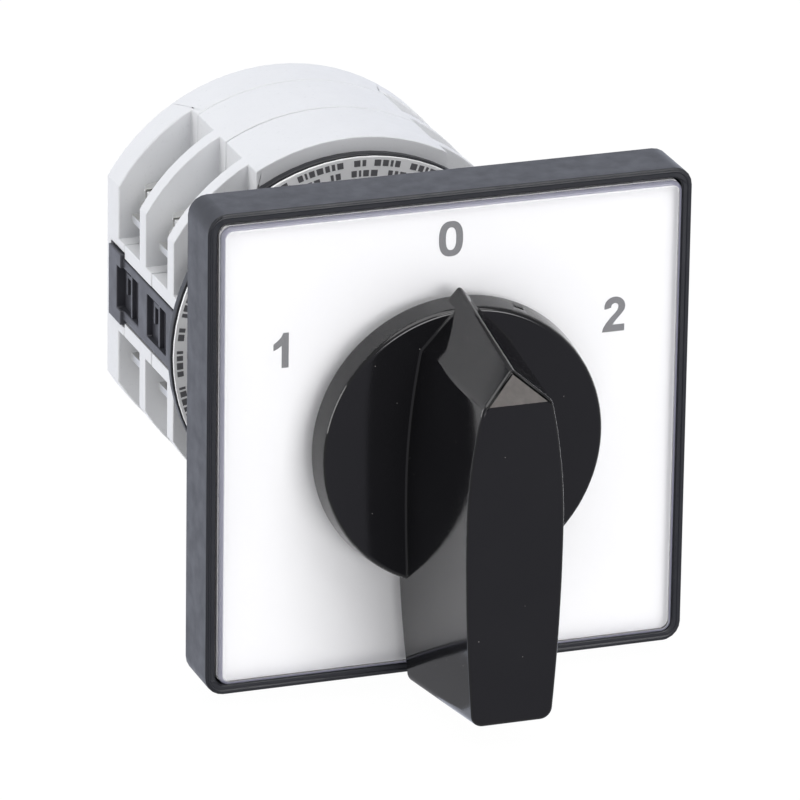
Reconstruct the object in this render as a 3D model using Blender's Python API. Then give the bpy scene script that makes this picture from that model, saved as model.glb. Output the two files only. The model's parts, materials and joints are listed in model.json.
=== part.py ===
"""Panel-mounted rotary changeover switch with the positions 1 - 0 - 2.

Frame: X to the right, Z up, the knob towards -Y. The origin is on the shaft's axis, in the plane where the
frame's back meets the panel. Lengths below are in millimetres, and MM turns them into Blender's metres.
"""

import math

import bmesh
import bpy
from mathutils import Matrix, Vector

MM = 0.001
GAP = 0.3  # clearance left between pieces that touch
LOOSE = 0.4  # clearance round a screw or a bearing
JOINT = 0.5  # how far two joined solids reach into each other
OVER = 1.0  # how far a cutter passes beyond a face
FAR = 40.0  # beyond every face of the switch across its axis
TINY = 0.001
SMOOTH_ANGLE = 35.0  # an edge sharper than this, in degrees, stays a hard edge

# Front of the panel
PLATE_SIDE = 65.0
FRAME_DEPTH = 8.3
FRAME_CORNER = 2.5
FRAME_RIM = 1.3
FRAME_FLOOR = 2.5
OPENING_CORNER = 1.4
LEDGE_DEPTH = 1.8
LEDGE_WIDTH = 2.2
LEGEND_THICK = 1.1
LEGEND_CORNER = 1.2
LEGEND_HOLE = 12.0
COVER_THICK = 0.9
COVER_CLEAR = 0.2
COVER_HOLE = 16.0

# Screws that hold the base to the frame
FIXING_PITCH = 48.0
FIXING_HEAD_R = 3.6
FIXING_HEAD_TOP_R = 3.1
FIXING_HEAD_TALL = 2.4
FIXING_SHANK = 1.9
FIXING_REACH = 4.5  # how far the shank goes into the base
FIXING_CROSS = 1.9
CROSS_HALF = 0.4  # half the width of a screwdriver slot
CROSS_FLOOR = 1.2  # what a head keeps under its slot

# Knob: round skirt and bar handle
SKIRT_BACK = -10.1
SKIRT_FRONT = -14.05
SKIRT_R_BACK = 19.25
SKIRT_R_FRONT = 18.76
BAR_BACK = -10.9
BAR_FRONT = -33.3
# Bar sections: widest half width and its height, shoulder half width and height, tip height,
# toe half width and height, toe corner radius
BAR_SECTION_BACK = (7.9, -4.7, 6.2, 13.9, 20.9, 6.25, -32.8, 1.6)
BAR_SECTION_FRONT = (6.47, -4.0, 4.6, 12.7, 15.9, 5.45, -30.3, 1.6)
BAR_STEPS = 6
BAR_LEAST_CORNER = 0.6
TIP_INSET = 1.35  # how far the tip comes down for each step that the sides come in
SHOULDER_INSET = 0.45  # the same for the shoulders
FACET_DROP = 0.71  # how fast the pointer's facet falls back from the front face
CAP_DEPTH = 2.4
CAP_RIM = 0.45
CAP_TO_RIM = 0.3
CAP_OPEN = 0.2  # how far the cap's pocket passes beyond the front face
BAR_WALL = 1.6
BAR_FLOOR = 1.8  # wall between the cap's pocket and the hollow toe
HUB_R = 9.0
HUB_BACK = -3.2

# Shaft and what turns with it
SHAFT_HALF = 3.5
BORE_HALF = SHAFT_HALF + GAP
SHAFT_FRONT = -18.0
SHAFT_SQUARE_END = 56.4
SHAFT_END = 60.0
SHAFT_THREAD = 12.0
JOURNAL_R = 3.3
KNOB_SCREW_SEAT = -24.0
KNOB_SCREW_R = 1.7
KNOB_SCREW_REACH = 10.0  # how far the screw goes into the shaft
KNOB_HEAD_R = 3.1
KNOB_HEAD_TOP_R = 2.7
KNOB_HEAD_TALL = 2.3
KNOB_CROSS = 1.7
KNOB_WELL_R = 3.6

# Mounting base and latch housing, behind the panel
BASE_FRONT = 3.3
BASE_FLANGE = 5.0
BASE_SIDE = 56.0
BASE_CORNER = 5.0
BASE_BOSS_R = 16.0
BUSH_R = 7.0
HOUSING_FRONT = 14.0
HOUSING_WALL = 2.5
NECK_R = 20.5
LABEL_FRONT = 27.5
LABEL_THICK = 0.4
LABEL_MARGIN = 0.2
FLANGE_FRONT = 28.2
FLANGE_BACK = 29.6
FLANGE_R = 25.4
SPIGOT_R = 23.0
SPIGOT_END = 32.9
RECESS_R = 18.4
STAR_MEAN = 9.2
STAR_WAVE = 1.6
STAR_FRONT = 17.6
STAR_BACK = 25.4
STAR_ROOM = 0.8
ROLLER_R = 1.8
LATCH_HALF = 2.6
LATCH_BODY = 3.0
LATCH_MARGIN = 0.9
CHANNEL_END = 18.4
# Springs: coil radius, wire diameter and turns
LATCH_SPRING = (1.9, 0.45, 2.5)
BRIDGE_SPRING = (2.4, 0.5, 4.5)
SPRING_SEAT = 0.55  # from a spring's seat to the middle of its wire
COIL_STEPS = 8  # points on each turn

# Grey wafers and end plate
BODY_R = 27.2
BODY_FLAT = 23.4
CHAMBER_X = 13.2
CHAMBER_Z = 6.5
CAVITY_X = 12.0
CAVITY_R = 24.8
WAFER_PITCH = 11.8
FIN_THICK = 2.6
LIP = 2.4  # how far a wafer's middle stands in front of its fin
WAFER_1_FIN = 33.2
REAR_FRONT = WAFER_1_FIN + 2 * WAFER_PITCH - 0.1
REAR_THICK = 5.0
REAR_RELIEF = 0.2
ROD_X = 17.3
ROD_R = 1.7
TIE_HEAD_R = 3.0
TIE_HEAD_TOP_R = 2.6
TIE_CROSS = 1.7
TIE_CROSS_DEPTH = 1.0
SINK_R = 3.4
SINK_DEPTH = 2.6
FIN_HOLE = 7.6
HUB_CAM_R = 6.9
GUIDE_THICK = 1.2
GUIDE_BOTTOM = 15.8
STRAP_THICK = 1.8
STRAP_HALF = 4.3
STRAP_STOP = 1.6  # wall behind the strap's groove
STRAP_WINDOW = (4.0, 3.0)  # half sizes along the stack and up
PAD_HALF = 5.0
PAD_PROUD = 0.4

# Contacts. Heights are those of the upper contacts; the lower ones are mirrored
CAM_R = 9.0
CAM_RISE = 1.2  # lift of a follower over 60 degrees of the shaft
CAM_LEADS = (5.2, 0.4)  # how far each cam's hub stands in front of its wafer's fin
CAM_BACK = 0.7
TURN = math.radians(60)
CONTACT_Z = 9.3
CONTACT_THICK = 1.0
CONTACT_HALF = 3.2
TIP_R = 1.6
TIP_THICK = 0.8
TIP_X = 9.2
OPEN_GAP = 1.5
STRIP_HALF = 2.5
STRIP_X = 11.0
CARRIER_X = 2.9
CARRIER_Y = 3.6
CARRIER_TOP = 17.5
FOOT_X = 1.2
FOOT_Y = 3.0
FOOT_TALL = 1.6
SPRING_TOP = 24.05
TERMINAL_START = 7.2
TERMINAL_END = 22.0
SCREW_X = 18.0
SCREW_R = 1.7
SCREW_HEAD_R = 3.1
WASHER_RIM = 0.5
# Heights above the contact strip
SCREW_HEAD = (1.9, 4.3)
SCREW_WASHER = (1.2, 2.0)
SCREW_SHANK = (-3.2, 1.6)
SCREW_SLOT_FLOOR = 3.1

TRIM = bpy.data.collections.new("changeover_switch")
TOOLS = bpy.data.collections.new("cutters")


# ---------------------------------------------------------------- helpers

def clear_scene():
    for obj in list(bpy.data.objects):
        bpy.data.objects.remove(obj, do_unlink=True)
    bpy.context.scene.collection.children.link(TRIM)
    bpy.context.scene.collection.children.link(TOOLS)


def material(name, colour, roughness, metallic=0.0, alpha=1.0):
    mat = bpy.data.materials.new(name)
    mat.use_nodes = True
    shader = mat.node_tree.nodes["Principled BSDF"]
    shader.inputs["Base Color"].default_value = (*colour, 1.0)
    shader.inputs["Roughness"].default_value = roughness
    shader.inputs["Metallic"].default_value = metallic
    shader.inputs["Alpha"].default_value = alpha
    return mat


def object_of(name, bm):
    """A new object from this bmesh, whose points are in millimetres."""
    bmesh.ops.scale(bm, vec=(MM, MM, MM), verts=bm.verts)
    bmesh.ops.recalc_face_normals(bm, faces=bm.faces)
    mesh = bpy.data.meshes.new(name)
    bm.to_mesh(mesh)
    bm.free()
    obj = bpy.data.objects.new(name, mesh)
    TOOLS.objects.link(obj)
    obj.hide_render = True
    obj.display_type = "WIRE"
    return obj


def keep(obj, mat, smooth=True):
    """Makes this object one of the switch's own pieces."""
    TOOLS.objects.unlink(obj)
    TRIM.objects.link(obj)
    obj.hide_render = False
    obj.display_type = "TEXTURED"
    obj.data.materials.append(mat)
    if smooth:
        obj.data.shade_smooth()
        obj.data.set_sharp_from_angle(angle=math.radians(SMOOTH_ANGLE))
    return obj


def box(name, x, y, z):
    """A block between the two values of each of x, y and z."""
    bm = bmesh.new()
    bmesh.ops.create_cube(bm, size=1.0)
    size = Vector((abs(x[1] - x[0]), abs(y[1] - y[0]), abs(z[1] - z[0])))
    middle = Vector(((x[0] + x[1]) / 2, (y[0] + y[1]) / 2, (z[0] + z[1]) / 2))
    bmesh.ops.scale(bm, vec=size, verts=bm.verts)
    bmesh.ops.translate(bm, vec=middle, verts=bm.verts)
    return object_of(name, bm)


def round_bar(name, radius, start, end, axis="Y", across=(0.0, 0.0), end_radius=None, segments=32):
    """A cylinder or cone along Y, or along X or Z, between start and end on that axis."""
    bm = bmesh.new()
    bmesh.ops.create_cone(
        bm, cap_ends=True, segments=segments, radius1=radius,
        radius2=radius if end_radius is None else end_radius, depth=end - start,
    )
    bmesh.ops.translate(bm, vec=(0, 0, (start + end) / 2), verts=bm.verts)
    if axis == "Y":
        bmesh.ops.rotate(bm, matrix=Matrix.Rotation(-math.pi / 2, 3, "X"), verts=bm.verts)
        move = (across[0], 0, across[1])
    elif axis == "X":
        bmesh.ops.rotate(bm, matrix=Matrix.Rotation(math.pi / 2, 3, "Y"), verts=bm.verts)
        move = (0, across[0], across[1])
    else:
        move = (across[0], across[1], 0)
    bmesh.ops.translate(bm, vec=move, verts=bm.verts)
    return object_of(name, bm)


def slab(name, outline, y):
    """A flat outline in X and Z, with a thickness along Y."""
    curve = bpy.data.curves.new(name, "CURVE")
    curve.dimensions = "2D"
    curve.fill_mode = "BOTH"
    curve.extrude = abs(y[1] - y[0]) / 2
    spline = curve.splines.new("POLY")
    spline.points.add(len(outline) - 1)
    for point, (x, z) in zip(spline.points, outline):
        point.co = (x, z, 0, 1)
    spline.use_cyclic_u = True
    guide = bpy.data.objects.new(name, curve)
    TOOLS.objects.link(guide)
    guide.rotation_euler = (math.pi / 2, 0, 0)
    guide.location = (0, (y[0] + y[1]) / 2, 0)
    graph = bpy.context.evaluated_depsgraph_get()
    mesh = bpy.data.meshes.new_from_object(guide.evaluated_get(graph))
    bm = bmesh.new()
    bm.from_mesh(mesh)
    bm.transform(guide.matrix_world)
    bmesh.ops.remove_doubles(bm, verts=bm.verts, dist=TINY)
    bmesh.ops.dissolve_limit(bm, angle_limit=TINY, verts=bm.verts, edges=bm.edges)
    bpy.data.objects.remove(guide, do_unlink=True)
    bpy.data.meshes.remove(mesh)
    bpy.data.curves.remove(curve)
    return object_of(name, bm)


def boolean(obj, other, operation):
    change = obj.modifiers.new(other.name, "BOOLEAN")
    change.operation = operation
    change.object = other
    return obj


def cut(obj, *tools):
    for tool in tools:
        boolean(obj, tool, "DIFFERENCE")
    return obj


def join(obj, *others):
    for other in others:
        boolean(obj, other, "UNION")
    return obj


def arc(centre, radius, start, end, steps):
    """Points on an arc, with its angles in degrees."""
    angles = [math.radians(start + (end - start) * i / steps) for i in range(steps + 1)]
    return [(centre[0] + radius * math.cos(a), centre[1] + radius * math.sin(a)) for a in angles]


def rounded_square(side, radius, steps=5):
    reach = side / 2 - radius
    corners = [((1, 1), 0), ((-1, 1), 90), ((-1, -1), 180), ((1, -1), 270)]
    points = []
    for (x, z), start in corners:
        points += arc((x * reach, z * reach), radius, start, start + 90, steps)
    return points


def square_bore(name, y):
    return box(name, (-BORE_HALF, BORE_HALF), y, (-BORE_HALF, BORE_HALF))


def cross_slot(name, centre, reach, y):
    """Two crossing blades that cut a screwdriver's cross into a head facing along Y."""
    x, z = centre
    tall = box(name + "_tall", (x - CROSS_HALF, x + CROSS_HALF), y, (z - reach, z + reach))
    wide = box(name + "_wide", (x - reach, x + reach), y, (z - CROSS_HALF, z + CROSS_HALF))
    return tall, wide


def coil(name, spring, start, end, place, mat):
    """A helical spring of round wire. place turns (along, across, across) into a point."""
    radius, wire, turns = spring
    count = int(turns * COIL_STEPS)
    curve = bpy.data.curves.new(name, "CURVE")
    curve.dimensions = "3D"
    curve.bevel_depth = wire / 2 * MM
    curve.bevel_resolution = 0
    curve.use_fill_caps = True
    spline = curve.splines.new("POLY")
    spline.points.add(count)
    for i, point in enumerate(spline.points):
        turn = 2 * math.pi * i / COIL_STEPS
        along = start + (end - start) * i / count
        x, y, z = place(along, radius * math.cos(turn), radius * math.sin(turn))
        point.co = (x * MM, y * MM, z * MM, 1)
    obj = bpy.data.objects.new(name, curve)
    TRIM.objects.link(obj)
    curve.materials.append(mat)
    return obj


# ---------------------------------------------------------------- outlines

def body_outline():
    """The wafers' outline: a circle with a flat on the left and on the right."""
    half = math.degrees(math.acos(BODY_FLAT / BODY_R))
    return arc((0, 0), BODY_R, half, 180 - half, 26) + arc((0, 0), BODY_R, 180 + half, 360 - half, 26)


def cavity_outline():
    """The inner space for the cam and the moving contacts."""
    top = math.degrees(math.acos(CAVITY_X / CAVITY_R))
    return arc((0, 0), CAVITY_R, top, 180 - top, 12) + arc((0, 0), CAVITY_R, 180 + top, 360 - top, 12)


def cam_outline():
    """A cam that lifts the upper follower evenly as the shaft turns one way, and the lower one the other way."""
    points = []
    steps = 48
    for i in range(steps):
        angle = 2 * math.pi * i / steps
        # Fold the circle onto one half: 0 on the right, where the cam is high, to pi on the left.
        away = math.acos(math.cos(angle))
        ramp = max(-TURN, min(TURN, math.pi / 2 - away))
        radius = CAM_R + CAM_RISE * ramp / TURN
        points.append((radius * math.cos(angle), radius * math.sin(angle)))
    return points


def star_outline():
    points = []
    steps = 72
    for i in range(steps):
        angle = 2 * math.pi * i / steps
        radius = STAR_MEAN - STAR_WAVE * math.cos(6 * angle)
        points.append((radius * math.cos(angle), radius * math.sin(angle)))
    return points


def bar_outline(section, inset=0.0):
    """The handle bar's outline at one depth: pointer tip, bowed sides and a toe with round corners."""
    wide, wide_z, shoulder, shoulder_z, tip_z, toe, toe_z, corner = section
    wide, shoulder, toe = wide - inset, shoulder - inset, toe - inset
    tip_z, toe_z, corner = tip_z - TIP_INSET * inset, toe_z + inset, max(BAR_LEAST_CORNER, corner - inset)
    shoulder_z = shoulder_z - SHOULDER_INSET * inset
    side = []
    for i in range(BAR_STEPS + 1):
        t = i / BAR_STEPS
        side.append((wide - (wide - shoulder) * (1 - t) ** 2, shoulder_z + (wide_z - shoulder_z) * t))
    low = toe_z + corner
    for i in range(1, BAR_STEPS + 1):
        t = i / BAR_STEPS
        side.append((wide - (wide - toe) * t**2, wide_z + (low - wide_z) * t))
    side += arc((toe - corner, low), corner, 0, -90, 5)[1:]
    return [(0, tip_z)] + side + [(-x, z) for x, z in reversed(side)]


def bar_solid(name, inset=0.0, back=BAR_BACK, front=BAR_FRONT):
    """The handle bar between two depths: a loft from its wide back outline to its narrow front one."""
    depth = BAR_FRONT - BAR_BACK
    bm = bmesh.new()
    rings = []
    for y in (back, front):
        t = (y - BAR_BACK) / depth
        near = bar_outline(BAR_SECTION_BACK, inset)
        far = bar_outline(BAR_SECTION_FRONT, inset)
        ring = [(a[0] + (b[0] - a[0]) * t, a[1] + (b[1] - a[1]) * t) for a, b in zip(near, far)]
        rings.append([bm.verts.new((x, y, z)) for x, z in ring])
    count = len(rings[0])
    bm.faces.new(rings[0])
    bm.faces.new(list(reversed(rings[1])))
    for i in range(count):
        j = (i + 1) % count
        bm.faces.new((rings[0][i], rings[1][i], rings[1][j], rings[0][j]))
    # The triangular facet at the top of the front face.
    cut_at = Vector((0, BAR_FRONT, BAR_SECTION_FRONT[3]))
    normal = Vector((0, -1, FACET_DROP)).normalized()
    geometry = bm.verts[:] + bm.edges[:] + bm.faces[:]
    made = bmesh.ops.bisect_plane(bm, geom=geometry, plane_co=cut_at, plane_no=normal, clear_outer=True)
    edges = [item for item in made["geom_cut"] if isinstance(item, bmesh.types.BMEdge)]
    if edges:
        bmesh.ops.holes_fill(bm, edges=bm.edges, sides=0)
    return object_of(name, bm)


# ---------------------------------------------------------------- front of the panel

def front_frame(mat):
    front = -FRAME_DEPTH
    ledge = front + LEDGE_DEPTH
    inner = PLATE_SIDE - 2 * FRAME_RIM
    frame = slab("front_frame", rounded_square(PLATE_SIDE, FRAME_CORNER), (front, 0))
    cut(frame, slab("frame_opening", rounded_square(inner, OPENING_CORNER), (front - OVER, ledge)))
    pocket = rounded_square(inner - 2 * LEDGE_WIDTH, OPENING_CORNER)
    cut(frame, slab("frame_pocket", pocket, (ledge - OVER, -FRAME_FLOOR)))
    floor = (-FRAME_FLOOR - OVER, OVER)
    cut(frame, round_bar("frame_hole", LEGEND_HOLE, *floor))
    for number, place in enumerate(fixing_places(), 1):
        hole = round_bar(f"frame_screw_hole_{number}", FIXING_SHANK + LOOSE, *floor, across=place, segments=16)
        cut(frame, hole)
    keep(frame, mat)


def fixing_places():
    half = FIXING_PITCH / 2
    return [(-half, half), (half, half), (half, -half), (-half, -half)]


def legend_plate(mat):
    ledge = LEDGE_DEPTH - FRAME_DEPTH
    side = PLATE_SIDE - 2 * FRAME_RIM - 2 * GAP
    plate = slab("legend_plate", rounded_square(side, LEGEND_CORNER), (ledge - GAP - LEGEND_THICK, ledge - GAP))
    keep(cut(plate, round_bar("legend_hole", LEGEND_HOLE, -FRAME_DEPTH - OVER, 0)), mat)


def window_cover(mat):
    side = PLATE_SIDE - 2 * FRAME_RIM - 2 * COVER_CLEAR
    front = -FRAME_DEPTH - COVER_THICK
    cover = slab("window_cover", rounded_square(side, OPENING_CORNER), (front, -FRAME_DEPTH))
    keep(cut(cover, round_bar("cover_hole", COVER_HOLE, front - OVER, 0, segments=48)), mat)


def fixing_screws(mat):
    seat = -FRAME_FLOOR - GAP
    for number, place in enumerate(fixing_places(), 1):
        name = f"fixing_screw_{number}"
        top = seat - FIXING_HEAD_TALL
        screw = round_bar(name, FIXING_HEAD_TOP_R, top, seat, across=place, end_radius=FIXING_HEAD_R, segments=20)
        end = BASE_FRONT + FIXING_REACH
        join(screw, round_bar(name + "_shank", FIXING_SHANK, seat - JOINT, end, across=place, segments=12))
        cut(screw, *cross_slot(name + "_cross", place, FIXING_CROSS, (top - OVER, seat - CROSS_FLOOR)))
        keep(screw, mat)


# ---------------------------------------------------------------- knob

def knob(mat):
    skirt = round_bar("knob", SKIRT_R_FRONT, SKIRT_FRONT, SKIRT_BACK, end_radius=SKIRT_R_BACK, segments=96)
    join(skirt, bar_solid("knob_bar"))
    join(skirt, round_bar("knob_hub", HUB_R, SKIRT_BACK - OVER, HUB_BACK, segments=40))
    cut(skirt, bar_solid("knob_cap_pocket", CAP_RIM, BAR_FRONT + CAP_DEPTH, BAR_FRONT - CAP_OPEN))
    hollow = bar_solid("knob_bar_hollow", BAR_WALL, BAR_BACK + OVER, BAR_FRONT + CAP_DEPTH + BAR_FLOOR)
    below = box("knob_hollow_limit", (-FAR, FAR), (-FAR, 0), (-FAR, -SKIRT_R_BACK))
    boolean(hollow, below, "INTERSECT")
    cut(skirt, hollow)
    cut(skirt, square_bore("knob_bore", (SHAFT_FRONT - GAP, 0)))
    cut(skirt, round_bar("knob_screw_well", KNOB_WELL_R, BAR_FRONT, KNOB_SCREW_SEAT, segments=24))
    hole = (KNOB_SCREW_SEAT - OVER, SHAFT_FRONT + OVER)
    cut(skirt, round_bar("knob_screw_hole", KNOB_SCREW_R + LOOSE, *hole, segments=24))
    keep(skirt, mat)


def handle_cap(mat):
    inset = CAP_RIM + CAP_TO_RIM
    cap = bar_solid("handle_cap", inset, BAR_FRONT + CAP_DEPTH - GAP, BAR_FRONT)
    keep(cap, mat)


def knob_screw(mat):
    seat = KNOB_SCREW_SEAT - GAP
    top = seat - KNOB_HEAD_TALL
    screw = round_bar("knob_screw", KNOB_HEAD_TOP_R, top, seat, end_radius=KNOB_HEAD_R, segments=24)
    end = SHAFT_FRONT + KNOB_SCREW_REACH
    join(screw, round_bar("knob_screw_shank", KNOB_SCREW_R, seat - JOINT, end, segments=16))
    cut(screw, *cross_slot("knob_screw_cross", (0, 0), KNOB_CROSS, (top - OVER, seat - CROSS_FLOOR)))
    keep(screw, mat)


# ---------------------------------------------------------------- shaft and latch

def shaft(mat):
    half = SHAFT_HALF
    bar = box("shaft", (-half, half), (SHAFT_FRONT, SHAFT_SQUARE_END), (-half, half))
    join(bar, round_bar("shaft_journal", JOURNAL_R, SHAFT_SQUARE_END - OVER, SHAFT_END, segments=32))
    thread = (SHAFT_FRONT - OVER, SHAFT_FRONT + SHAFT_THREAD)
    cut(bar, round_bar("shaft_thread", KNOB_SCREW_R + GAP, *thread, segments=24))
    keep(bar, mat)


def shaft_bush(mat):
    bush = round_bar("shaft_bush", BUSH_R, BASE_FRONT + GAP, HOUSING_FRONT - 2 * GAP)
    keep(cut(bush, square_bore("bush_bore", (0, HOUSING_FRONT))), mat)


def mounting_base(mat):
    flange = slab("mounting_base", rounded_square(BASE_SIDE, BASE_CORNER), (BASE_FRONT, BASE_FRONT + BASE_FLANGE))
    join(flange, round_bar("base_boss", BASE_BOSS_R, BASE_FRONT + OVER, HOUSING_FRONT - GAP, segments=40))
    cut(flange, round_bar("base_bore", BUSH_R + LOOSE, 0, HOUSING_FRONT))
    for number, place in enumerate(fixing_places(), 1):
        end = BASE_FRONT + BASE_FLANGE + OVER
        cut(flange, round_bar(f"base_tapped_{number}", FIXING_SHANK + GAP, 0, end, across=place, segments=16))
    keep(flange, mat)


def latch_housing(mat):
    body = round_bar("latch_housing", NECK_R, HOUSING_FRONT, FLANGE_FRONT + JOINT, segments=48)
    join(body, round_bar("housing_flange", FLANGE_R, FLANGE_FRONT, FLANGE_BACK, segments=72))
    join(body, round_bar("housing_spigot", SPIGOT_R, FLANGE_BACK - JOINT, SPIGOT_END, segments=48))
    inside = HOUSING_FRONT + HOUSING_WALL
    beyond = SPIGOT_END + OVER
    cut(body, round_bar("housing_bore", BUSH_R + LOOSE, HOUSING_FRONT - OVER, inside + OVER))
    cut(body, round_bar("housing_pocket", STAR_MEAN + STAR_WAVE + STAR_ROOM, inside, beyond, segments=32))
    channel = LATCH_HALF + GAP
    cut(body, box("housing_channel", (-CHANNEL_END, CHANNEL_END), (inside, STAR_BACK + 2 * GAP), (-channel, channel)))
    cut(body, round_bar("housing_recess", RECESS_R, STAR_BACK, beyond, segments=40))
    for side, hand in sides():
        cut(body, strap_groove(f"housing_groove_{hand}", side, (FLANGE_BACK, beyond)))
    keep(body, mat)


def rating_label(mat):
    back = LABEL_FRONT + LABEL_THICK
    ring = round_bar("rating_label", FLANGE_R - LABEL_MARGIN, LABEL_FRONT, back, segments=72)
    keep(cut(ring, round_bar("label_hole", NECK_R + LOOSE, LABEL_FRONT - OVER, back + OVER, segments=40)), mat)


def star_wheel(mat):
    star = slab("star_wheel", star_outline(), (STAR_FRONT, STAR_BACK))
    join(star, round_bar("star_hub", HUB_CAM_R, STAR_BACK - OVER, cam_start(1) - GAP, segments=24))
    keep(cut(star, square_bore("star_bore", (STAR_FRONT - OVER, cam_start(1)))), mat)


def latch_plungers(mat, spring_mat):
    clear = STAR_MEAN + STAR_WAVE + GAP
    middle = clear + ROLLER_R
    outer = middle + LATCH_BODY
    y = (STAR_FRONT + LATCH_MARGIN, STAR_BACK - LATCH_MARGIN)
    for side, hand in sides():
        name = f"latch_plunger_{hand}"
        body = box(name, (side * middle, side * outer), y, (-LATCH_HALF, LATCH_HALF))
        join(body, round_bar(name + "_nose", ROLLER_R, y[0], y[1], across=(side * middle, 0), segments=24))
        keep(body, mat)

        def place(along, a, b, side=side):
            return side * along, (y[0] + y[1]) / 2 + a, b

        ends = (outer + SPRING_SEAT, CHANNEL_END - SPRING_SEAT)
        coil(f"latch_spring_{hand}", LATCH_SPRING, *ends, place, spring_mat)


# ---------------------------------------------------------------- wafers

def fin_front(wafer):
    return WAFER_1_FIN + (wafer - 1) * WAFER_PITCH


def contact_y(wafer):
    """The middle of the space for this wafer's contacts."""
    return fin_front(wafer) + FIN_THICK + (WAFER_PITCH - FIN_THICK) / 2


def cam_start(wafer):
    return fin_front(wafer) - CAM_LEADS[wafer - 1]


def cut_chambers(body, name, y):
    """Opens the four corners between these depths, where the terminals are."""
    for side, hand in sides():
        for up, level in levels():
            chamber = box(f"{name}_{level}_{hand}", (side * CHAMBER_X, side * FAR), y, (up * CHAMBER_Z, up * FAR))
            cut(body, chamber)


def cut_contact_slots(body, name, number):
    """Openings in the walls beside the cavity, where this wafer's fixed contacts pass through."""
    middle = contact_y(number)
    y = (middle - CONTACT_HALF - GAP, middle + CONTACT_HALF + GAP)
    for side, hand in sides():
        for up, level in levels():
            z = (up * (CONTACT_Z - GAP), up * (CONTACT_Z + CONTACT_THICK + GAP))
            x = (side * (CAVITY_X - OVER), side * (CHAMBER_X + OVER))
            cut(body, box(f"{name}_{level}_{hand}", x, y, z))


def strap_groove(name, side, y, half=STRAP_HALF + GAP):
    deep = BODY_FLAT - STRAP_THICK - GAP
    return box(name, (side * deep, side * FAR), y, (-half, half))


def sides():
    return ((-1, "left"), (1, "right"))


def levels():
    return ((1, "upper"), (-1, "lower"))


def wafer(number, mat):
    """A fin across the whole outline, and a core with the cavity for the cam and the bridges behind it."""
    name = f"wafer_{number}"
    fin = fin_front(number)
    front = FLANGE_BACK + GAP if number == 1 else fin - LIP
    back = fin + WAFER_PITCH - LIP - GAP
    behind = fin + FIN_THICK
    body = slab(name, body_outline(), (front, back))
    cut_chambers(body, name + "_front_chamber", (front - OVER, fin))
    cut_chambers(body, name + "_chamber", (behind, back + OVER))
    cut(body, slab(name + "_cavity", cavity_outline(), (behind, back + OVER)))
    if number == 1:
        cut(body, round_bar(name + "_mouth", SPIGOT_R + GAP, front - OVER, fin, segments=64))
    else:
        cut(body, slab(name + "_mouth", cavity_outline(), (front - OVER, fin)))
    cut(body, round_bar(name + "_bore", FIN_HOLE, fin - OVER, behind + OVER, segments=40))
    cut_contact_slots(body, name + "_slot", number)
    if number == 2:
        cut_contact_slots(body, name + "_front_slot", 1)
    for side, hand in sides():
        through = (front - OVER, back + OVER)
        cut(body, strap_groove(f"{name}_groove_{hand}", side, through))
        rod = round_bar(f"{name}_rod_{hand}", ROD_R + LOOSE, *through, across=(side * ROD_X, 0), segments=24)
        cut(body, rod)
        for up, level in levels():
            rib = box(
                f"{name}_guide_{level}_{hand}", (side * (CARRIER_X + GAP), side * (CARRIER_X + GAP + GUIDE_THICK)),
                (behind - JOINT, back), (up * GUIDE_BOTTOM, up * (CAVITY_R + JOINT)),
            )
            join(body, rib)
    keep(body, mat)


def rear_plate(mat):
    back = REAR_FRONT + REAR_THICK
    front = REAR_FRONT - LIP
    plate = slab("rear_plate", body_outline(), (front, back))
    cut_chambers(plate, "rear_chamber", (front - OVER, REAR_FRONT))
    cut(plate, slab("rear_cavity", cavity_outline(), (front - OVER, REAR_FRONT + REAR_RELIEF)))
    cut_contact_slots(plate, "rear_slot", 2)
    cut(plate, round_bar("rear_bearing", JOURNAL_R + LOOSE, REAR_FRONT - OVER, SHAFT_END + GAP, segments=32))
    for side, hand in sides():
        place = (side * ROD_X, 0)
        groove = strap_groove(f"rear_groove_{hand}", side, (front - OVER, back - STRAP_STOP), PAD_HALF + GAP)
        cut(plate, groove)
        cut(plate, round_bar(f"rear_rod_{hand}", ROD_R + LOOSE, front - OVER, back + OVER, across=place, segments=24))
        cut(plate, round_bar(f"rear_sink_{hand}", SINK_R, back - SINK_DEPTH, back + OVER, across=place, segments=24))
    keep(plate, mat)


def side_clips(mat):
    """Black straps in the grooves of the flats, each with a wider pad on the end plate. They hold the stack together."""
    front = FLANGE_BACK + GAP
    back = REAR_FRONT + REAR_THICK - STRAP_STOP - GAP
    for side, hand in sides():
        name = f"clip_{hand}"
        inner = BODY_FLAT - STRAP_THICK
        strap = box(name, (side * inner, side * BODY_FLAT), (front, back - JOINT), (-STRAP_HALF, STRAP_HALF))
        pad_x = (side * (inner + JOINT), side * (BODY_FLAT + PAD_PROUD))
        join(strap, box(name + "_pad", pad_x, (REAR_FRONT - LIP + GAP, back), (-PAD_HALF, PAD_HALF)))
        for number in (1, 2):
            middle = contact_y(number)
            along, up = STRAP_WINDOW
            y = (middle - along, middle + along)
            cut(strap, box(f"{name}_window_{number}", (side * (inner - OVER), side * FAR), y, (-up, up)))
        keep(strap, mat)


def tie_screws(mat):
    back = REAR_FRONT + REAR_THICK
    for side, hand in sides():
        name = f"tie_screw_{hand}"
        place = (side * ROD_X, 0)
        seat = back - SINK_DEPTH + GAP
        top = back - GAP
        screw = round_bar(name, ROD_R, WAFER_1_FIN + GAP, seat + JOINT, across=place, segments=16)
        head = round_bar(name + "_head", TIE_HEAD_R, seat, top, across=place, end_radius=TIE_HEAD_TOP_R, segments=24)
        join(screw, head)
        cut(screw, *cross_slot(name + "_cross", place, TIE_CROSS, (top - TIE_CROSS_DEPTH, top + OVER)))
        keep(screw, mat)


# ---------------------------------------------------------------- contacts

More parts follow.
